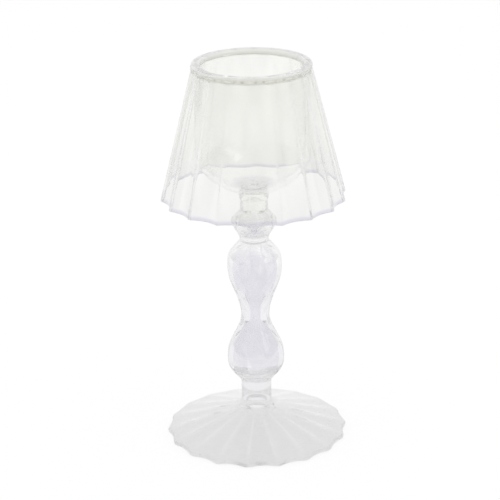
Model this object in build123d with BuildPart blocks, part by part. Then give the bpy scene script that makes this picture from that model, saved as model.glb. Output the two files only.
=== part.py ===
"""Candle lamp of clear glass, in millimetres: a fluted foot, a stem of blown bulbs that are fused
end to end, a round-bottomed candle cup, and a fluted shade that rests on the cup's lip.

The frame's origin is the middle of the foot's underside, and the lamp stands along +Z.
"""
import os
from math import acos, atan2, cos, hypot, pi, sin, sqrt

from build123d import *

# Foot: a shallow fluted cone, hollow underneath, that stands on a flat ring
flute_count = 18
foot_turn = 3.0
foot_radius = 51.3
foot_scallop = 2.4
foot_edge = 2.6
foot_height = 15.0
foot_top_scallop = 0.5
foot_arris_round = 3.5
foot_top_arris_round = 1.2
foot_glass = 3.0
foot_ring_width = 2.5

# Lower neck: a short clear column whose blind bore opens into the hollow of the foot
lower_neck_length = 15.2
lower_neck_radius = 8.4
lower_neck_skirt = 0.8
lower_neck_flare = 3.0
lower_neck_ledge = 0.3
neck_bore_radius = 5.0
neck_bore_length = 8.0

# Stem bulbs: hollow, with soft lobes, pinched between each bulb and the next
lobe_count = 10
lobe_depth = 0.45
lower_bulb_length = 40.6
lower_bulb_radius = 16.0
lower_bulb_belly = 16.8
lower_bulb_end_radius = 8.6
waist_radius = 8.0
waist_bore_radius = 3.8
upper_bulb_length = 44.9
upper_bulb_radius = 15.3
upper_bulb_belly = 15.7
upper_waist_radius = 8.1
bulb_wall = 2.4
bulb_floor = 2.2
bluntness = 1.65
stations_per_half = 6

# Knop: the small third bulb, drawn up into a straight neck under the cup
knop_length = 17.1
knop_radius = 12.1
knop_belly = 9.3
knop_neck_length = 5.4
knop_neck_radius = 7.6
knop_bore_radius = 3.8
knop_wall = 4.8

# Neck ring: the button of glass that the cup is set on
neck_ring_height = 4.8
neck_ring_radius = 7.9
neck_ring_bulge = 0.5

# Candle cup: a tumbler with a rounded bottom
cup_radius = 30.0
cup_wall = 2.4
cup_height = 69.0
cup_bowl_depth = 17.2
cup_corner = 14.5

# Shade: a fluted cone of thin glass that hangs over the cup, with a smooth rounded rim
shade_turn = 7.0
shade_radius = 51.0
shade_scallop = 2.8
shade_length = 72.6
shade_top_scallop = 0.9
shade_base_wall = 1.8
shade_wall = 1.2
shade_clearance = 0.6
shade_inner_round = 3.5
rim_height = 3.0
rim_round = 1.6

# Heights of the planes where one piece is fused to, or rests on, the next
lower_neck_base = foot_height
lower_bulb_base = lower_neck_base + lower_neck_length
upper_bulb_base = lower_bulb_base + lower_bulb_length
knop_base = upper_bulb_base + upper_bulb_length
neck_ring_base = knop_base + knop_length + knop_neck_length
cup_base = neck_ring_base + neck_ring_height
cup_lip = cup_base + cup_height
shade_base = cup_lip - shade_length

# Radii that follow from a fit or a wall
shade_inner_radius = shade_radius - shade_base_wall
shade_inner_top_radius = cup_radius + shade_clearance + shade_top_scallop
shade_top_radius = shade_inner_top_radius + shade_wall
rim_opening_radius = cup_radius - cup_wall
flare_radius = lower_neck_radius + lower_neck_flare + lower_neck_ledge
foot_top_radius = flare_radius + foot_top_scallop
ring_face_radius = neck_ring_radius - neck_ring_bulge


def scalloped_face(arris_radius, depth, count, turn):
    """Face inside a ring of hollow arcs that meet at sharp arrises, the outermost points."""
    pitch = 360 / count
    with BuildLine() as ring:
        for number in range(count):
            start_angle = turn + number * pitch
            ThreePointArc(
                Vector(arris_radius, 0).rotate(Axis.Z, start_angle),
                Vector(arris_radius - depth, 0).rotate(Axis.Z, start_angle + pitch / 2),
                Vector(arris_radius, 0).rotate(Axis.Z, start_angle + pitch),
            )
    make_face(ring.edges())


def lobed_face(crown_radius, depth, count):
    """Face inside a ring of round lobes that are parted by grooves, the innermost points."""
    pitch = 360 / count
    with BuildLine() as ring:
        for number in range(count):
            start_angle = number * pitch
            ThreePointArc(
                Vector(crown_radius - depth, 0).rotate(Axis.Z, start_angle),
                Vector(crown_radius, 0).rotate(Axis.Z, start_angle + pitch / 2),
                Vector(crown_radius - depth, 0).rotate(Axis.Z, start_angle + pitch),
            )
    make_face(ring.edges())


def swelling(share, power):
    """What is left of a bulb's swelling at a share of the way from its belly to its end."""
    return (1 + cos(pi * share**power)) / 2


def bulb_outline(base, length, belly, radii, powers):
    """Heights and radii from a bulb's base over its belly to its top.

    belly is the belly's height above the base; radii are those of the base, belly and top; powers
    say how blunt the lower and the upper half are, where 1 is slender.
    """
    base_radius, belly_radius, top_radius = radii
    lower_power, upper_power = powers
    outline = []
    for step in range(stations_per_half):
        share = 1 - step / stations_per_half
        radius = base_radius + (belly_radius - base_radius) * swelling(share, lower_power)
        outline.append((base + belly * (1 - share), radius))
    for step in range(stations_per_half + 1):
        share = step / stations_per_half
        radius = top_radius + (belly_radius - top_radius) * swelling(share, upper_power)
        outline.append((base + belly + (length - belly) * share, radius))
    return outline


def lobed_bulb(outline):
    """Loft of lobed sections through a bulb's outline."""
    sections = []
    for height, radius in outline:
        with BuildSketch(Plane.XY.offset(height)) as section:
            lobed_face(radius, lobe_depth, lobe_count)
        sections.append(section.sketch.face())
    loft(sections)


def bulb_cavity(closed_end, open_end, ball_radius, bore_radius):
    """Hollow of a bulb: a ball at its closed end, drawn out into a taper that ends in a bore."""
    away = 1 if open_end > closed_end else -1
    ball_height = closed_end + away * ball_radius
    taper_reach = abs(open_end - ball_height)
    # The taper leaves the ball where it is tangent to it
    tangent_angle = atan2(taper_reach, bore_radius) - acos(ball_radius / hypot(taper_reach, bore_radius))
    tangent_radius = ball_radius * cos(tangent_angle)
    tangent_height = ball_height + away * ball_radius * sin(tangent_angle)
    with BuildSketch(Plane.XZ) as half:
        with BuildLine():
            ThreePointArc(
                (0, closed_end),
                (ball_radius / sqrt(2), ball_height - away * ball_radius / sqrt(2)),
                (tangent_radius, tangent_height),
            )
            Polyline((tangent_radius, tangent_height), (bore_radius, open_end), (0, open_end), (0, closed_end))
        make_face()
    revolve(half.sketch, axis=Axis.Z, mode=Mode.SUBTRACT)


with BuildPart() as foot:
    with BuildSketch() as foot_edge_outline:
        scalloped_face(foot_radius, foot_scallop, flute_count, foot_turn)
        fillet(foot_edge_outline.vertices(), foot_arris_round)
    extrude(amount=foot_edge)
    with BuildSketch(Plane.XY.offset(foot_edge)) as foot_lower_outline:
        scalloped_face(foot_radius, foot_scallop, flute_count, foot_turn)
        fillet(foot_lower_outline.vertices(), foot_arris_round)
    with BuildSketch(Plane.XY.offset(foot_height)) as foot_upper_outline:
        scalloped_face(foot_top_radius, foot_top_scallop, flute_count, foot_turn)
        fillet(foot_upper_outline.vertices(), foot_top_arris_round)
    loft(ruled=True)
    # The hollow underneath, which leaves the flat ring that the lamp stands on
    hollow_radius = foot_radius - foot_scallop - foot_ring_width
    with BuildSketch(Plane.XZ) as foot_hollow:
        with BuildLine():
            Polyline(
                (0, 0),
                (hollow_radius, 0),
                (neck_bore_radius, foot_height - foot_glass),
                (neck_bore_radius, foot_height),
                (0, foot_height),
                close=True,
            )
        make_face()
    revolve(axis=Axis.Z, mode=Mode.SUBTRACT)

with BuildPart() as lower_neck:
    with BuildSketch(Plane.XZ) as neck_section:
        skirt_top = lower_neck_base + lower_neck_skirt
        with BuildLine():
            Polyline(
                (0, lower_neck_base),
                (flare_radius, lower_neck_base),
                (flare_radius, skirt_top),
                (lower_neck_radius, skirt_top),
                (lower_neck_radius, lower_bulb_base),
                (0, lower_bulb_base),
                close=True,
            )
        make_face()
        fillet(neck_section.vertices().sort_by_distance((lower_neck_radius, skirt_top))[0], lower_neck_flare)
    revolve(axis=Axis.Z)
    # The blind bore ends in a dome
    bore_straight = neck_bore_length - neck_bore_radius
    with BuildSketch(Plane.XZ) as neck_bore:
        with BuildLine():
            Polyline(
                (0, lower_neck_base + neck_bore_length),
                (0, lower_neck_base),
                (neck_bore_radius, lower_neck_base),
                (neck_bore_radius, lower_neck_base + bore_straight),
            )
            CenterArc((0, lower_neck_base + bore_straight), neck_bore_radius, 0, 90)
        make_face()
    revolve(axis=Axis.Z, mode=Mode.SUBTRACT)

with BuildPart() as lower_bulb:
    lower_radii = (lower_bulb_end_radius, lower_bulb_radius, waist_radius)
    lobed_bulb(bulb_outline(lower_bulb_base, lower_bulb_length, lower_bulb_belly, lower_radii, (bluntness, 1)))
    bulb_cavity(
        lower_bulb_base + bulb_floor,
        upper_bulb_base,
        lower_bulb_radius - lobe_depth - bulb_wall,
        waist_bore_radius,
    )

with BuildPart() as upper_bulb:
    upper_radii = (waist_radius, upper_bulb_radius, upper_waist_radius)
    belly_above_base = upper_bulb_length - upper_bulb_belly
    lobed_bulb(bulb_outline(upper_bulb_base, upper_bulb_length, belly_above_base, upper_radii, (1, bluntness)))
    bulb_cavity(
        knop_base - bulb_floor,
        upper_bulb_base,
        upper_bulb_radius - lobe_depth - bulb_wall,
        waist_bore_radius,
    )

with BuildPart() as knop:
    knop_radii = (upper_waist_radius, knop_radius, knop_neck_radius)
    lobed_bulb(bulb_outline(knop_base, knop_length, knop_belly, knop_radii, (1, 1)))
    with BuildSketch(Plane.XY.offset(knop_base + knop_length)) as knop_neck_outline:
        lobed_face(knop_neck_radius, lobe_depth, lobe_count)
    extrude(amount=knop_neck_length)
    bulb_cavity(
        knop_base + bulb_floor,
        neck_ring_base,
        knop_radius - lobe_depth - knop_wall,
        knop_bore_radius,
    )

with BuildPart() as neck_ring:
    with BuildSketch(Plane.XZ) as neck_ring_section:
        with BuildLine():
            Polyline(
                (ring_face_radius, cup_base),
                (0, cup_base),
                (0, neck_ring_base),
                (ring_face_radius, neck_ring_base),
            )
            ThreePointArc(
                (ring_face_radius, neck_ring_base),
                (neck_ring_radius, neck_ring_base + neck_ring_height / 2),
                (ring_face_radius, cup_base),
            )
        make_face()
    revolve(axis=Axis.Z)

with BuildPart() as candle_cup:
    # The bowl is part of a ball, with a flat under it that is as wide as the face of the neck ring
    ball_above_flat = (cup_radius**2 + cup_bowl_depth**2 - ring_face_radius**2) / (2 * cup_bowl_depth)
    bowl_radius = hypot(ball_above_flat, ring_face_radius)
    bowl_edge = cup_base + cup_bowl_depth
    with BuildSketch(Plane.XZ) as cup_section:
        with BuildLine():
            Line((0, cup_base), (ring_face_radius, cup_base))
            RadiusArc((ring_face_radius, cup_base), (cup_radius, bowl_edge), -bowl_radius)
            Polyline((cup_radius, bowl_edge), (cup_radius, cup_lip), (0, cup_lip), (0, cup_base))
        make_face()
        fillet(cup_section.vertices().sort_by_distance((cup_radius, bowl_edge))[0], cup_corner)
    revolve(axis=Axis.Z)
    offset(amount=-cup_wall, openings=candle_cup.faces().sort_by(Axis.Z)[-1])

with BuildPart() as shade:
    with BuildSketch(Plane.XY.offset(shade_base)) as shade_lower_outline:
        scalloped_face(shade_radius, shade_scallop, flute_count, shade_turn)
    with BuildSketch(Plane.XY.offset(cup_lip)) as shade_upper_outline:
        scalloped_face(shade_top_radius, shade_top_scallop, flute_count, shade_turn)
    loft(ruled=True)
    # The inside follows the flutes, rounded where they meet
    with BuildSketch(Plane.XY.offset(shade_base)) as hollow_lower_outline:
        scalloped_face(shade_inner_radius, shade_scallop, flute_count, shade_turn)
        fillet(hollow_lower_outline.vertices(), shade_inner_round)
    with BuildSketch(Plane.XY.offset(cup_lip)) as hollow_upper_outline:
        scalloped_face(shade_inner_top_radius, shade_top_scallop, flute_count, shade_turn)
        fillet(hollow_upper_outline.vertices(), shade_inner_round)
    loft(ruled=True, mode=Mode.SUBTRACT)
    # The smooth rim rests on the lip of the cup and is flush with its inside
    with BuildSketch(Plane.XZ) as rim_section:
        rim_width = shade_top_radius - rim_opening_radius
        with Locations((rim_opening_radius + rim_width / 2, cup_lip + rim_height / 2)):
            Rectangle(rim_width, rim_height)
        fillet(rim_section.vertices().group_by(Axis.Y)[-1], rim_round)
    revolve(axis=Axis.Z)

pieces = {
    "foot": foot,
    "lower_neck": lower_neck,
    "lower_bulb": lower_bulb,
    "upper_bulb": upper_bulb,
    "knop": knop,
    "neck_ring": neck_ring,
    "candle_cup": candle_cup,
    "shade": shade,
}
os.makedirs("parts", exist_ok=True)
for name, piece in pieces.items():
    piece.part.label = name
    export_step(piece.part, f"parts/{name}.step")
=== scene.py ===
"""Looks of a clear glass candle lamp: a fluted foot, a stem of blown bulbs, a candle cup and a fluted shade.

Everything is in metres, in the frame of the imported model, with the lamp standing on the floor along +Z.
"""

from math import acos, atan2, cos, degrees, hypot, pi, radians, sin, sqrt, tan, tau

import bmesh
import bpy
from mathutils import Matrix, Vector


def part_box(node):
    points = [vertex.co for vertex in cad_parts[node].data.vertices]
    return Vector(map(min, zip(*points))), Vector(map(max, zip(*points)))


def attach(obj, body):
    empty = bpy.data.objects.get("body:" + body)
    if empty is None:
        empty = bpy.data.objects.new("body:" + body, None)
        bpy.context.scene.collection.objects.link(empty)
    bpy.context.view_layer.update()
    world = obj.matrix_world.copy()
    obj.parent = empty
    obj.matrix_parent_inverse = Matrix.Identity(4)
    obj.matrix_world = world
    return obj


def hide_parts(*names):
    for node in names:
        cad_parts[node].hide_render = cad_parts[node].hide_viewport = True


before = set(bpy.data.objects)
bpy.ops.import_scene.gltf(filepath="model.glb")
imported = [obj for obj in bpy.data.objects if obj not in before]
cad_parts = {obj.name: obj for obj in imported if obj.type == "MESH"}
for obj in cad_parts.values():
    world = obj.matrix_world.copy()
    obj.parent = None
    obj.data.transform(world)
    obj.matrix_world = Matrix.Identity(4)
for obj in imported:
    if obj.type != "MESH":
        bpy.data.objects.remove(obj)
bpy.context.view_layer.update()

# Foot: a shallow cone of clear pressed glass, hollow underneath. Hollow flutes run down it between rounded
# ridges, out to a scalloped edge that stands on the table at the ridges and rises a little between them. The
# lower neck is fused to its top. The foot's glass is tinted grey as painted shadow: the shaded floor under
# the foot, seen through the glass.
mm = 0.001
scene = bpy.context.scene
flute_count = 18
flute_samples = 16
foot_turn = radians(3.0)
foot_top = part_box("foot")[1].z
foot_radius = 51.3 * mm
foot_scallop = 2.4 * mm
foot_ridge_roundness = 0.2
foot_edge = 2.6 * mm
foot_edge_round = 1.1 * mm
foot_edge_lift = 0.7 * mm
foot_lift_power = 6
foot_ring_width = 2.5 * mm
foot_glass_depth = 3.0 * mm
foot_slope_steps = 24
foot_edge_steps = 6
flare_radius = 11.7 * mm
neck_bore_radius = 5.0 * mm
# Painted shadow: the foot's grey tints stand for the shaded floor seen through its glass.
foot_painted_shadow_grey = (0.79, 0.79, 0.79)
foot_edge_painted_shadow_grey = (0.785, 0.785, 0.785)
foot_ridge_painted_highlight = (1, 1, 1)
glass_ior = 1.5
glass_shadow = (0.93, 0.93, 0.93, 1)
wave_squeeze = (1, 1, 0.2)
wave_detail = 2.0
streak_low = 0.36
streak_high = 0.64
smears_per_metre = 90.0
smear_detail = 4.0
surface_numbers = {"wall": 0, "seam": 1, "hollow": 2}
doubles_distance = 0.001 * mm
corner_angle_limit = radians(32)


class Value:
    """A socket in a shader expression: each operator adds one Math node."""

    def __init__(self, shading, socket):
        self.shading = shading
        self.socket = socket

    def maths(self, operation, first, second):
        return self.shading.node("ShaderNodeMath", {0: first, 1: second}, settings={"operation": operation})

    def __add__(self, other):
        return self.maths("ADD", self, other)

    def __sub__(self, other):
        return self.maths("SUBTRACT", self, other)

    def __rsub__(self, other):
        return self.maths("SUBTRACT", other, self)

    def __mul__(self, other):
        return self.maths("MULTIPLY", self, other)

    def __pow__(self, other):
        return self.maths("POWER", self, other)

    def __rpow__(self, other):
        return self.maths("POWER", other, self)

    def __or__(self, other):
        return self.maths("MAXIMUM", self, other)

    def __abs__(self):
        return self.maths("ABSOLUTE", self, 0)

    __radd__ = __add__
    __rmul__ = __mul__
    __ror__ = __or__


class Shading:
    """The nodes of one material or of the world."""

    def __init__(self, owner):
        owner.use_nodes = True
        self.tree = owner.node_tree
        self.tree.nodes.clear()

    def node(self, kind, sockets=None, output=0, settings=None, stops=()):
        """Adds a node: its settings and ramp stops first, then the values or links of its sockets."""
        node = self.tree.nodes.new(kind)
        for name, setting in (settings or {}).items():
            setattr(node, name, setting)
        if stops:
            ramp = node.color_ramp.elements
            for share, colour in stops[1:-1]:
                ramp.new(share).color = colour
            ramp[0].color = stops[0][1]
            ramp[-1].color = stops[-1][1]
        for name, value in (sockets or {}).items():
            if isinstance(value, Value):
                self.tree.links.new(value.socket, node.inputs[name])
            else:
                node.inputs[name].default_value = value
        return Value(self, node.outputs[output]) if node.outputs else None

    def between(self, value, start, end, at_start=0.0, at_end=1.0):
        """Goes from at_start to at_end while a value goes from start to end, and no further."""
        sockets = {"Value": value, "From Min": start, "From Max": end, "To Min": at_start, "To Max": at_end}
        return self.node("ShaderNodeMapRange", sockets)

    def blend(self, share, first, second):
        """Goes from one colour to another. A Mix node takes colours at 6 and 7, and gives its colour at 2."""
        return self.node("ShaderNodeMix", {0: share, 6: first, 7: second}, 2, {"data_type": "RGBA"})


def painted_ridge_lines(shading, place, facing, colour, turn, tint, width, power, fade=None):
    """Lays a line of painted highlight or painted shade along each ridge between flutes, wider and stronger
    where the glass is seen aslant.

    fade is how far out the lines start to fade and are gone.
    """
    across = shading.node("ShaderNodeSeparateXYZ", {"Vector": place}, "X")
    along = shading.node("ShaderNodeSeparateXYZ", {"Vector": place}, "Y")
    angle = shading.node("ShaderNodeMath", {0: along, 1: across}, settings={"operation": "ARCTAN2"})
    flutes = (angle - turn) * (flute_count / tau)
    from_ridge = shading.node("ShaderNodeMath", {0: flutes, 1: 0.5}, settings={"operation": "PINGPONG"})
    line = shading.between(from_ridge, 0, facing * width, 1, 0) * facing**power
    if fade:
        reach = shading.node("ShaderNodeVectorMath", {0: place}, "Value", {"operation": "LENGTH"})
        line = line * shading.between(reach, *fade, 1, 0)
    return shading.blend(line, colour, (*tint, 1))


def blown_glass(
    name, tints, edge_tint, edge_power, streak_share, smear, wave_size, wave_depth, wander=0.0, ridges=None
):
    """Clear glass that was drawn out hot, so that waves and streaks run along it.

    tints are (height, colour), and their heights wander along the streaks. The edge tint, mostly darker, is
    painted shade where the glass is seen aslant, for the darker surroundings that glass shows at its edges,
    and a share of it also goes along the streaks. Smears make it a little rough.
    """
    material = bpy.data.materials.new(name)
    shading = Shading(material)
    place = shading.node("ShaderNodeTexCoord", output="Object")
    drawn_out = shading.node("ShaderNodeMapping", {"Vector": place, "Scale": wave_squeeze})
    wave_sockets = {"Vector": drawn_out, "Scale": 1 / wave_size, "Detail": wave_detail}
    waves = shading.node("ShaderNodeTexNoise", wave_sockets)
    bump = shading.node("ShaderNodeBump", {"Strength": 1.0, "Distance": wave_depth, "Height": waves})
    streaks = shading.between(waves, streak_low, streak_high)
    height = shading.node("ShaderNodeSeparateXYZ", {"Vector": place}, "Z")
    low, high = tints[0][0], tints[-1][0]
    climb = shading.between(height + streaks * wander, low + wander / 2, high + wander / 2)
    stops = [((level - low) / (high - low), (*tint, 1)) for level, tint in tints]
    tint = shading.node("ShaderNodeValToRGB", {"Fac": climb}, "Color", stops=stops)
    facing = shading.node("ShaderNodeLayerWeight", {"Blend": 0.5}, "Facing")
    colour = shading.blend(facing**edge_power + streaks * streak_share, tint, (*edge_tint, 1))
    if ridges:
        colour = painted_ridge_lines(shading, place, facing, colour, **ridges)
    smear_sockets = {"Vector": place, "Scale": smears_per_metre, "Detail": smear_detail}
    smears = shading.node("ShaderNodeTexNoise", smear_sockets)
    glass = shading.node(
        "ShaderNodeBsdfPrincipled",
        {
            "Base Color": colour,
            "Roughness": smears * smear,
            "IOR": glass_ior,
            "Transmission Weight": 1.0,
            "Normal": bump,
        },
    )
    in_shadow = shading.node("ShaderNodeLightPath", output="Is Shadow Ray")
    clear = shading.node("ShaderNodeBsdfTransparent", {"Color": glass_shadow})
    surface = shading.node("ShaderNodeMixShader", {0: in_shadow, 1: glass, 2: clear})
    shading.node("ShaderNodeOutputMaterial", {"Surface": surface})
    return material


def fused_seam():
    """Where two pieces were fused hot there is no surface left between them, so light goes straight on."""
    material = bpy.data.materials.new("fused_seam")
    shading = Shading(material)
    clear = shading.node("ShaderNodeBsdfTransparent")
    shading.node("ShaderNodeOutputMaterial", {"Surface": clear})
    return material


def rib_angles(count, samples, turn):
    """Angles round a piece, closer together where one rib or flute meets the next."""
    pitch = tau / count
    angles = []
    for rib in range(count):
        for sample in range(samples):
            across = sin(pi * (sample / samples - 0.5))
            angles.append(turn + (rib + (1 + across) / 2) * pitch)
    return angles


def hollow_flute(angle, count, turn, roundness):
    """Share of a flute's depth at an angle: least on the ridge, which is rounded, and all in the middle."""
    place = ((angle - turn) * count / tau) % 1
    from_ridge = 1 - abs(2 * place - 1)
    return 1 - (1 - sqrt(from_ridge**2 + roundness**2)) ** 2


def drawn_ring(mesh, edges, kind):
    """Draws a ring of edges out into a band of faces of one kind: the new ring's vertices and edges."""
    surface = mesh.faces.layers.int["surface"]
    grown = bmesh.ops.extrude_edge_only(mesh, edges=edges)["geom"]
    ring = [item for item in grown if isinstance(item, bmesh.types.BMVert)]
    corners = set(ring)
    grown_edges = [item for item in grown if isinstance(item, bmesh.types.BMEdge)]
    ring_edges = [edge for edge in grown_edges if corners.issuperset(edge.verts)]
    for edge in ring_edges:
        edge.link_faces[0][surface] = surface_numbers[kind]
    return ring, ring_edges


def ring_mesh(angles, stations, wall):
    """Bmesh of rings that are drawn out of one another along stations of (radius, height, depth, kind).

    wall turns an angle and a station's radius, height and depth into the radius and height there. A station
    of radius 0 is a pole; without poles the last ring joins the first. The kind is that of the band of faces
    that ends at the station.
    """
    mesh = bmesh.new()
    mesh.faces.layers.int.new("surface")
    ring, opening_pole = None, None
    for radius, height, depth, kind in stations:
        if radius == 0 and ring is None:
            opening_pole = height
            continue
        if ring is None:
            ring = bmesh.ops.create_circle(mesh, segments=len(angles), radius=1)["verts"]
            for vert, angle in zip(ring, angles):
                vert.co = (cos(angle), sin(angle), 0)
            edges = first_edges = mesh.edges[:]
        else:
            ring, edges = drawn_ring(mesh, edges, kind)
        if radius == 0:
            bmesh.ops.pointmerge(mesh, verts=ring, merge_co=(0, 0, height))
            continue
        for vert in ring:
            angle = atan2(vert.co.y, vert.co.x)
            reach, level = wall(angle, radius, height, depth)
            vert.co = (reach * cos(angle), reach * sin(angle), level)
    if opening_pole is not None:
        cap = drawn_ring(mesh, first_edges, stations[0][3])[0]
        bmesh.ops.pointmerge(mesh, verts=cap, merge_co=(0, 0, opening_pole))
    elif radius > 0:
        bmesh.ops.bridge_loops(mesh, edges=first_edges + edges)
    bmesh.ops.remove_doubles(mesh, verts=mesh.verts, dist=doubles_distance)
    bmesh.ops.recalc_face_normals(mesh, faces=mesh.faces)
    return mesh


def glass_piece(name, mesh, glasses, node, body):
    """Object of a ring mesh that takes the place of a node: smooth walls, with sharp borders round its seams.

    glasses are those of its outside and its seams, and of its hollow if that is another.
    """
    surface = mesh.faces.layers.int["surface"]
    for face in mesh.faces:
        face.smooth = True
        face.material_index = face[surface]
    for edge in mesh.edges:
        border = len({face[surface] for face in edge.link_faces}) > 1
        edge.smooth = not border and edge.calc_face_angle() <= corner_angle_limit
    data = bpy.data.meshes.new(name)
    mesh.to_mesh(data)
    mesh.free()
    for glass in glasses:
        data.materials.append(glass)
    piece = bpy.data.objects.new(name, data)
    scene.collection.objects.link(piece)
    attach(piece, body)
    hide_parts(node)


def arc(centre, radius, start, end, steps, depth=0, kind="wall"):
    """Stations along an arc in a piece's profile, from one angle in degrees to another."""
    stations = []
    for step in range(steps + 1):
        angle = radians(start + (end - start) * step / steps)
        stations.append((centre[0] + radius * cos(angle), centre[1] + radius * sin(angle), depth, kind))
    return stations


def straight(start, end, depths, steps):
    """Stations along a straight wall from one (radius, height) to another, between two depths of flute."""
    stations = []
    for step in range(steps + 1):
        share = step / steps
        radius = start[0] + (end[0] - start[0]) * share
        height = start[1] + (end[1] - start[1]) * share
        stations.append((radius, height, depths[0] + (depths[1] - depths[0]) * share, "wall"))
    return stations


def foot_wall(angle, radius, height, depth):
    """The foot's flutes get deeper on their way out to the edge, where they also rise off the table."""
    dip = hollow_flute(angle, flute_count, foot_turn, foot_ridge_roundness)
    rise = dip - hollow_flute(foot_turn, flute_count, foot_turn, foot_ridge_roundness)
    return radius - depth * dip, height + foot_edge_lift * rise * (radius / foot_radius) ** foot_lift_power


seam_material = fused_seam()
foot_material = blown_glass(
    "foot_glass",
    tints=[(0, foot_painted_shadow_grey), (foot_top, foot_painted_shadow_grey)],
    edge_tint=foot_edge_painted_shadow_grey,
    edge_power=2.0,
    streak_share=0.05,
    smear=0.04,
    wave_size=14 * mm,
    wave_depth=0.05 * mm,
    # Painted highlights: white lines along the ridges, for the light that the rounded ridges catch.
    ridges={
        "turn": foot_turn,
        "tint": foot_ridge_painted_highlight,
        "width": 0.26,
        "power": 0.5,
        "fade": (38 * mm, 51 * mm),
    },
)
foot_slope = atan2(foot_top - foot_edge, foot_radius - flare_radius)
edge_drop = foot_edge_round * (1 / cos(foot_slope) - tan(foot_slope))
edge_across = foot_radius - foot_edge_round
edge_start = 90 - degrees(foot_slope)
upper_middle = (edge_across, foot_edge - edge_drop)
upper_edge = arc(upper_middle, foot_edge_round, edge_start, 0, foot_edge_steps, foot_scallop)
lower_edge = arc((edge_across, foot_edge_round), foot_edge_round, 0, -90, foot_edge_steps, foot_scallop)
hollow_edge = (foot_radius - foot_ring_width, 0)
hollow_top = (neck_bore_radius, foot_top - foot_glass_depth)
foot_stations = straight(hollow_edge, hollow_top, (foot_scallop, 0), foot_slope_steps)
foot_stations += [(neck_bore_radius, foot_top, 0, "wall"), (flare_radius, foot_top, 0, "seam")]
slope_ends = ((flare_radius, foot_top), upper_edge[0][:2])
foot_stations += straight(*slope_ends, (0, foot_scallop), foot_slope_steps)[1:-1]
foot_stations += upper_edge + lower_edge
foot_mesh = ring_mesh(rib_angles(flute_count, flute_samples, foot_turn), foot_stations, foot_wall)
glass_piece("foot_glass", foot_mesh, (foot_material, seam_material), "foot", "holder")

# Lower neck: a short column of clear glass that flares out onto the foot, where it is fused on. A blind bore
# with a round end comes up into it from the hollow under the foot. The stem's glass is painted lavender in
# its hollows and nearly clear round them, as painted reflection of greyish surroundings, and painted lighter
# near the top of the upper bulb, as painted reflection of the bright region above it.
neck_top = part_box("lower_neck")[1].z
neck_radius = 8.4 * mm
neck_flare = 3.0 * mm
neck_skirt = 0.8 * mm
neck_bore_length = 8.0 * mm
neck_steps = 10
bore_end_start = 82
round_segments = 192
stem_wander = 16 * mm
hollow_painted_reflection_lavender = (0.85, 0.845, 0.895)
stem_material = blown_glass(
    "stem_glass",
    tints=[
        (24 * mm, (0.86, 0.86, 0.87)),
        (36 * mm, (0.89, 0.885, 0.905)),
        (104 * mm, (0.885, 0.88, 0.90)),
        (107 * mm, (0.985, 0.985, 0.975)),
    ],
    wander=stem_wander,
    edge_tint=(0.45, 0.45, 0.47),
    edge_power=4.0,
    streak_share=0.08,
    smear=0.05,
    wave_size=4 * mm,
    wave_depth=0.05 * mm,
)
hollow_material = blown_glass(
    "hollow_glass",
    tints=[
        (34 * mm, (0.99, 0.99, 0.99)),
        (44 * mm, hollow_painted_reflection_lavender),
        (104 * mm, hollow_painted_reflection_lavender),
        (107 * mm, (0.98, 0.98, 0.98)),
        (117 * mm, (0.94, 0.935, 0.955)),
        (124 * mm, (0.95, 0.945, 0.955)),
        (129 * mm, (0.99, 0.99, 0.98)),
    ],
    wander=stem_wander,
    edge_tint=(0.98, 0.98, 0.985),
    edge_power=3.0,
    streak_share=0.32,
    smear=0.05,
    wave_size=4 * mm,
    wave_depth=0.04 * mm,
)
stem_glasses = (stem_material, seam_material, hollow_material)


def round_wall(angle, radius, height, depth):
    """A plain round wall."""
    return radius, height


round_angles = [tau * number / round_segments for number in range(round_segments)]
bore_end = foot_top + neck_bore_length
bore_end_middle = (0, bore_end - neck_bore_radius)
flare_bottom = foot_top + neck_skirt
flare_middle = (neck_radius + neck_flare, flare_bottom + neck_flare)
neck_stations = [(0, bore_end, 0, "hollow")]
neck_stations += arc(bore_end_middle, neck_bore_radius, bore_end_start, 0, neck_steps, kind="hollow")
neck_stations.append((neck_bore_radius, foot_top, 0, "hollow"))
neck_stations += [(flare_radius, foot_top, 0, "seam"), (flare_radius, flare_bottom, 0, "wall")]
neck_stations += arc(flare_middle, neck_flare, 270, 180, neck_steps)
neck_stations += [(neck_radius, neck_top, 0, "wall"), (0, neck_top, 0, "seam")]
neck_mesh = ring_mesh(round_angles, neck_stations, round_wall)
glass_piece("lower_neck_glass", neck_mesh, stem_glasses, "lower_neck", "holder")

# Stem bulbs: two hollow teardrops of clear glass, blown in a ribbed mould so that soft lobes run along them.
# They are pinched together at the waist, where the bore of one runs on into the other, and fused to the neck
# below.
lobe_count = 10
lobe_samples = 16
lobe_groove_roundness = 0.12
lobe_depth = 0.45 * mm
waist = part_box("lower_bulb")[1].z
bulb_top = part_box("upper_bulb")[1].z
waist_radius = 8.0 * mm
waist_bore_radius = 3.8 * mm
lower_belly = neck_top + 16.8 * mm
lower_belly_radius = 16.0 * mm
upper_belly = bulb_top - 15.7 * mm
upper_belly_radius = 15.3 * mm
upper_waist_radius = 8.1 * mm
bulb_wall = 2.0 * mm
bulb_floor = 2.2 * mm
hollow_end_radius = 5.6 * mm
bluntness = 1.65
bulb_steps = 20


def lobed_wall(angle, radius, height, depth):
    """A bulb's wall goes in along the grooves between its lobes."""
    return radius - depth * (1 - hollow_flute(angle, lobe_count, 0, lobe_groove_roundness)), height


def swell(belly, end, power=1.0, depths=(0, 0), kind="wall"):
    """Stations along a smooth swelling from the (radius, height) of its belly to that of its end."""
    stations = []
    for step in range(bulb_steps + 1):
        share = step / bulb_steps
        radius = end[0] + (belly[0] - end[0]) * (1 + cos(pi * share**power)) / 2
        height = belly[1] + (end[1] - belly[1]) * share
        stations.append((radius, height, depths[0] + (depths[1] - depths[0]) * share, kind))
    return stations


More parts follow.
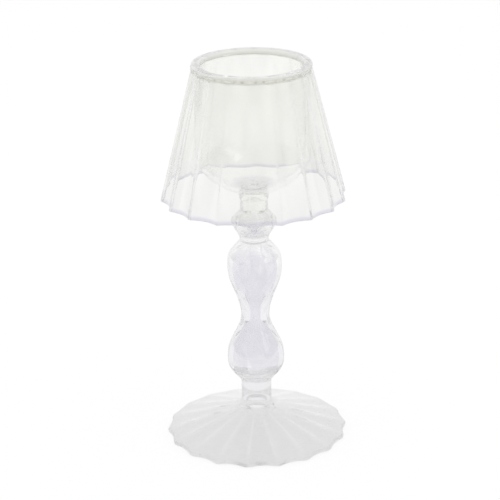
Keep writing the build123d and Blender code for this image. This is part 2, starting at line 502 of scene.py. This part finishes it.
def bulb_stations(belly, end, end_depth, hollow_end):
    """Stations of a bulb: its hollow from the closed end to the waist, then its outside back again.

    belly and end are each a (radius, height) of the outside, and hollow_end is the hollow's height there.
    """
    hollow = (belly[0] - lobe_depth - bulb_wall, belly[1])
    stations = [(0, hollow_end, 0, "hollow")]
    stations += swell(hollow, (hollow_end_radius, hollow_end), bluntness, kind="hollow")[::-1]
    stations += swell(hollow, (waist_bore_radius, waist), kind="hollow")[1:]
    stations.append((waist_radius, waist, lobe_depth, "seam"))
    stations += swell(belly, (waist_radius, waist), depths=(lobe_depth, lobe_depth))[-2::-1]
    stations += swell(belly, end, bluntness, (lobe_depth, end_depth))[1:]
    stations.append((0, end[1], 0, "seam"))
    return stations


lobe_angles = rib_angles(lobe_count, lobe_samples, 0)
lower_outside = ((lower_belly_radius, lower_belly), (neck_radius, neck_top))
lower_stations = bulb_stations(*lower_outside, 0, neck_top + bulb_floor)
lower_mesh = ring_mesh(lobe_angles, lower_stations, lobed_wall)
glass_piece("lower_bulb_glass", lower_mesh, stem_glasses, "lower_bulb", "holder")
upper_outside = ((upper_belly_radius, upper_belly), (upper_waist_radius, bulb_top))
upper_stations = bulb_stations(*upper_outside, lobe_depth, bulb_top - bulb_floor)
upper_mesh = ring_mesh(lobe_angles, upper_stations, lobed_wall)
glass_piece("upper_bulb_glass", upper_mesh, stem_glasses, "upper_bulb", "holder")

# Knop: the small third bulb of the stem, of clear glass, blown in the same ribbed mould and drawn up into a
# straight neck. It is fused to the bulb below, and its hollow narrows into the neck's bore.
knop_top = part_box("knop")[1].z
knop_belly = bulb_top + 9.3 * mm
knop_radius = 12.1 * mm
knop_neck = bulb_top + 17.1 * mm
knop_neck_radius = 7.6 * mm
knop_hollow_radius = 8.6 * mm
knop_bore_radius = 3.8 * mm
ring_face_radius = 7.4 * mm
# Painted reflection: the knop is tinted lavender-grey below and clear above, for the grey surroundings it
# shows.
knop_material = blown_glass(
    "knop_glass",
    tints=[(bulb_top + 6 * mm, (0.86, 0.86, 0.875)), (bulb_top + 13 * mm, (0.97, 0.97, 0.95))],
    wander=6 * mm,
    edge_tint=(0.7, 0.7, 0.66),
    edge_power=3.0,
    streak_share=0.08,
    smear=0.05,
    wave_size=5 * mm,
    wave_depth=0.05 * mm,
)
knop_glasses = (knop_material, seam_material, hollow_material)


def dome(pole_height, radius, height):
    """Stations from the pole of a hollow to its round belly."""
    stations = [(0, pole_height, 0, "hollow")]
    for step in range(1, bulb_steps + 1):
        angle = pi / 2 * step / bulb_steps
        stations.append((radius * sin(angle), height + (pole_height - height) * cos(angle), 0, "hollow"))
    return stations


knop_outside = (knop_radius, knop_belly)
knop_lobes = (lobe_depth, lobe_depth)
knop_stations = dome(bulb_top + bulb_floor, knop_hollow_radius, knop_belly)
knop_stations += swell((knop_hollow_radius, knop_belly), (knop_bore_radius, knop_neck), kind="hollow")[1:]
knop_stations += [(knop_bore_radius, knop_top, 0, "hollow"), (ring_face_radius, knop_top, 0, "seam")]
knop_stations.append((knop_neck_radius, knop_neck, lobe_depth, "wall"))
knop_stations += swell(knop_outside, (knop_neck_radius, knop_neck), depths=knop_lobes)[-2::-1]
knop_stations += swell(knop_outside, (upper_waist_radius, bulb_top), depths=knop_lobes)[1:]
knop_stations.append((0, bulb_top, 0, "seam"))
knop_mesh = ring_mesh(lobe_angles, knop_stations, lobed_wall)
glass_piece("knop_glass", knop_mesh, knop_glasses, "knop", "holder")

# Neck ring: a button of clear glass that was pressed, hot, between the knop's neck and the cup. It closes the
# bore below it, is fused to both, and bulges a little where it was squeezed out.
ring_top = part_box("neck_ring")[1].z
ring_bulge = 0.5 * mm
ring_steps = 20
ring_stations = [(0, knop_top, 0, "wall"), (knop_bore_radius, knop_top, 0, "wall")]
ring_stations.append((ring_face_radius, knop_top, 0, "seam"))
for ring_step in range(1, ring_steps + 1):
    ring_share = ring_step / ring_steps
    ring_height = knop_top + (ring_top - knop_top) * ring_share
    ring_stations.append((ring_face_radius + ring_bulge * sin(pi * ring_share), ring_height, 0, "wall"))
ring_stations.append((0, ring_top, 0, "seam"))
neck_ring_mesh = ring_mesh(round_angles, ring_stations, round_wall)
neck_ring_glasses = (knop_material, seam_material)
glass_piece("neck_ring_glass", neck_ring_mesh, neck_ring_glasses, "neck_ring", "holder")

# Candle cup: a tumbler of thin clear glass with a bowl-shaped bottom, which the candle stands in. The bowl is
# fused to the neck ring, and the flat lip carries the shade.
cup_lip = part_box("candle_cup")[1].z
cup_radius = 30.0 * mm
cup_wall = 2.4 * mm
cup_bowl_depth = 17.2 * mm
cup_corner = 14.5 * mm
cup_floor_radius = 7.1 * mm
cup_steps = 16
cup_clear = (0.99, 0.992, 0.985)
cup_material = blown_glass(
    "cup_glass",
    # Painted shade: a dark lavender band at the bowl's bottom, for the dark line its edge-on glass shows.
    tints=[(ring_top + 0.8 * mm, (0.74, 0.73, 0.79)), (ring_top + 1.8 * mm, cup_clear), (cup_lip, cup_clear)],
    edge_tint=(0.5, 0.5, 0.5),
    edge_power=6.0,
    streak_share=0.02,
    smear=0.03,
    wave_size=16 * mm,
    wave_depth=0.05 * mm,
)
bowl_rise = (cup_radius**2 + cup_bowl_depth**2 - ring_face_radius**2) / (2 * cup_bowl_depth)
bowl_radius = hypot(bowl_rise, ring_face_radius)
bowl_middle = (0, ring_top + bowl_rise)
corner_across = cup_radius - cup_corner
corner_angle = acos(corner_across / (bowl_radius - cup_corner))
corner_middle = (corner_across, bowl_middle[1] - (bowl_radius - cup_corner) * sin(corner_angle))


def bowl_profile(inset, flat_radius):
    """Stations of the cup's bowl and corner, from the flat in its middle out to the straight wall."""
    radius = bowl_radius - inset
    flat_angle = acos(flat_radius / radius)
    bowl = arc(bowl_middle, radius, -degrees(flat_angle), -degrees(corner_angle), cup_steps)
    return bowl + arc(corner_middle, cup_corner - inset, -degrees(corner_angle), 0, cup_steps)[1:]


cup_stations = [(0, ring_top + cup_wall, 0, "wall")]
cup_stations += bowl_profile(cup_wall, cup_floor_radius)
cup_stations += [(cup_radius - cup_wall, cup_lip, 0, "wall"), (cup_radius, cup_lip, 0, "seam")]
cup_stations += bowl_profile(0, ring_face_radius)[::-1]
cup_stations.append((0, ring_top, 0, "seam"))
cup_mesh = ring_mesh(round_angles, cup_stations, round_wall)
glass_piece("candle_cup_glass", cup_mesh, (cup_material, seam_material), "candle_cup", "holder")

# Shade: a cone of thin clear glass, blown in a fluted mould so that the flutes show outside and inside, with
# a thick smooth rim and a rounded edge. A ledge inside the rim rests on the cup's lip, and the shade lifts
# straight off.
shade_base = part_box("shade")[0].z
shade_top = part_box("shade")[1].z
shade_turn = radians(7.0)
shade_radius = 51.0 * mm
shade_scallop = 2.8 * mm
shade_top_scallop = 0.9 * mm
shade_base_wall = 1.8 * mm
shade_wall = 1.2 * mm
shade_clearance = 0.6 * mm
shade_arris_roundness = 0.045
shade_steps = 32
shade_edge_steps = 10
rim_round = 1.6 * mm
rim_steps = 8
shade_clear = (0.977, 0.979, 0.959)
shade_arris_painted_shade = (0.45, 0.45, 0.43)
rim_olive_and_painted_shade = (0.7, 0.7, 0.65)
shade_material = blown_glass(
    "shade_glass",
    tints=[
        # Painted shade: a lavender band along the bottom edge, for the darker surroundings that the edge
        # shows.
        (shade_base + 1.5 * mm, (0.76, 0.75, 0.82)),
        (shade_base + 2.5 * mm, (0.925, 0.925, 0.92)),
        (shade_base + 35 * mm, shade_clear),
        (cup_lip - 14 * mm, shade_clear),
        (cup_lip - 1.4 * mm, (0.955, 0.957, 0.935)),
        # The rim's olive band is partly the deeper colour of thick glass, partly painted shade for the rim's
        # dark line.
        (cup_lip - 0.6 * mm, rim_olive_and_painted_shade),
        (cup_lip + 1.1 * mm, rim_olive_and_painted_shade),
        (cup_lip + 2.2 * mm, (0.97, 0.97, 0.955)),
    ],
    edge_tint=(0.66, 0.66, 0.65),
    edge_power=3.0,
    streak_share=0.14,
    smear=0.03,
    wave_size=8 * mm,
    wave_depth=0.06 * mm,
    # Painted shade: grey lines along the arrises, for the dark lines that fluted glass shows there.
    ridges={"turn": shade_turn, "tint": shade_arris_painted_shade, "width": 0.14, "power": 1.2},
)


def fluted_wall(angle, radius, height, depth):
    """The shade's wall goes in along its flutes, which meet at slightly rounded arrises."""
    return radius - depth * hollow_flute(angle, flute_count, shade_turn, shade_arris_roundness), height


edge_round = shade_base_wall / 2
edge_middle = (shade_radius - edge_round, shade_base + edge_round)
inner_edge = (shade_radius - shade_base_wall, edge_middle[1])
outer_edge = (shade_radius, edge_middle[1])
inner_top = (cup_radius + shade_clearance + shade_top_scallop, cup_lip)
outer_top = (inner_top[0] + shade_wall, cup_lip)
rim_opening = cup_radius - cup_wall
rim_height = shade_top - rim_round
flute_depths = (shade_scallop, shade_top_scallop)
shade_stations = straight(inner_edge, inner_top, flute_depths, shade_steps)
shade_stations += [(cup_radius, cup_lip, 0, "wall"), (rim_opening, cup_lip, 0, "seam")]
shade_stations += arc((rim_opening + rim_round, rim_height), rim_round, 180, 90, rim_steps)
shade_stations += arc((outer_top[0] - rim_round, rim_height), rim_round, 90, 0, rim_steps)
shade_stations += straight(outer_edge, outer_top, flute_depths, shade_steps)[::-1]
shade_stations += arc(edge_middle, edge_round, 0, -180, shade_edge_steps, shade_scallop)[1:-1]
shade_mesh = ring_mesh(rib_angles(flute_count, flute_samples, shade_turn), shade_stations, fluted_wall)
glass_piece("shade_glass", shade_mesh, (shade_material, seam_material), "shade", "shade")

# Floor: a plain sheet of white paper that the lamp stands on. Seen by the camera, and in and through the
# glass, it is nearly all white, and the little that is left to its matt surface keeps a faint shadow.
floor_size = 8.0
floor_drop = 0.2 * mm
floor_white_share = 0.88
floor_bmesh = bmesh.new()
bmesh.ops.create_grid(floor_bmesh, x_segments=1, y_segments=1, size=floor_size)
bmesh.ops.translate(floor_bmesh, verts=floor_bmesh.verts, vec=(0, 0, -floor_drop))
floor_data = bpy.data.meshes.new("floor")
floor_bmesh.to_mesh(floor_data)
floor_bmesh.free()
floor = bpy.data.objects.new("floor", floor_data)
scene.collection.objects.link(floor)
floor_material = bpy.data.materials.new("floor_paper")
paper = Shading(floor_material)
seen_by_camera = paper.node("ShaderNodeLightPath", output="Is Camera Ray")
seen_in_gloss = paper.node("ShaderNodeLightPath", output="Is Glossy Ray")
seen_through = paper.node("ShaderNodeLightPath", output="Is Transmission Ray")
floor_seen = (seen_by_camera | seen_in_gloss | seen_through) * floor_white_share
matt = paper.node("ShaderNodeBsdfDiffuse", {"Color": (1, 1, 1, 1)})
white = paper.node("ShaderNodeEmission", {"Color": (1, 1, 1, 1), "Strength": 1.0})
paper_surface = paper.node("ShaderNodeMixShader", {0: floor_seen, 1: matt, 2: white})
paper.node("ShaderNodeOutputMaterial", {"Surface": paper_surface})
floor_data.materials.append(floor_material)

# Light: an even white room, which the glass sees darker overhead, in front and at both sides, so that its
# edges have something to show. A tall narrow soft box, up on the right, gives the glass its highlights.
dark_direction = (0, -0.6, 0.8)
dark_start = -0.35
dark_end = 0.5
dark_level = 0.72
side_start = 0.6
side_end = 0.95
side_level = 0.66
soft_box_place = Vector((0.66, -0.35, 0.77))
soft_box_target = Vector((0, 0, 0.1))
world = bpy.data.worlds.new("studio")
scene.world = world
room = Shading(world)
look = room.node("ShaderNodeTexCoord", output="Generated")
dark_sockets = {0: look, 1: dark_direction}
toward_dark = room.node("ShaderNodeVectorMath", dark_sockets, "Value", {"operation": "DOT_PRODUCT"})
sideways = room.node("ShaderNodeSeparateXYZ", {"Vector": look}, "X")
overhead_share = room.between(toward_dark, dark_start, dark_end, 1.0, dark_level)
side_share = room.between(abs(sideways), side_start, side_end, 1.0, side_level)
room_seen = room.node("ShaderNodeLightPath", output="Is Camera Ray")
room_on_matt = room.node("ShaderNodeLightPath", output="Is Diffuse Ray")
room_level = room_seen | room_on_matt | overhead_share * side_share
backdrop = room.node("ShaderNodeBackground", {"Color": (1, 1, 1, 1), "Strength": room_level})
room.node("ShaderNodeOutputWorld", {"Surface": backdrop})
soft_box_data = bpy.data.lights.new("soft_box", "AREA")
soft_box_data.shape = "RECTANGLE"
soft_box_data.size = 0.3
soft_box_data.size_y = 0.9
soft_box_data.energy = 0.9
soft_box = bpy.data.objects.new("soft_box", soft_box_data)
soft_box.location = soft_box_place
soft_box.rotation_euler = (soft_box_target - soft_box_place).to_track_quat("-Z", "Y").to_euler()
scene.collection.objects.link(soft_box)

# Camera: a long lens from a little above the shade, rolled by a hair, as the photograph was taken. Light goes
# through many walls of glass on its way to it, so it is followed through many bounces.
frame_pixels = 500
camera_elevation = radians(20.4)
camera_distance = 1.1
camera_roll = radians(-0.95)
stem_point = Vector((0, 0, 0.110))
stem_pixel = (254.3, 247.2)
glass_bounces = 400
clear_bounces = 128
camera_data = bpy.data.cameras.new("camera")
camera_data.sensor_width = 36.0
camera_data.lens = 144.0
pixel_focal = camera_data.lens / camera_data.sensor_width * frame_pixels
pixel_size = camera_distance / pixel_focal
toward = Vector((0, cos(camera_elevation), -sin(camera_elevation)))
camera_turn = toward.to_track_quat("-Z", "Y").to_matrix() @ Matrix.Rotation(camera_roll, 3, "Z")
aside = Vector((stem_pixel[0] - frame_pixels / 2, frame_pixels / 2 - stem_pixel[1], 0)) * pixel_size
camera_place = stem_point - camera_turn @ aside - toward * camera_distance
camera = bpy.data.objects.new("camera", camera_data)
camera.matrix_world = Matrix.Translation(camera_place) @ camera_turn.to_4x4()
scene.collection.objects.link(camera)
scene.camera = camera
scene.view_settings.view_transform = "Standard"
scene.cycles.max_bounces = glass_bounces
scene.cycles.transmission_bounces = glass_bounces
scene.cycles.glossy_bounces = glass_bounces
scene.cycles.transparent_max_bounces = clear_bounces
scene.cycles.denoising_input_passes = "RGB"
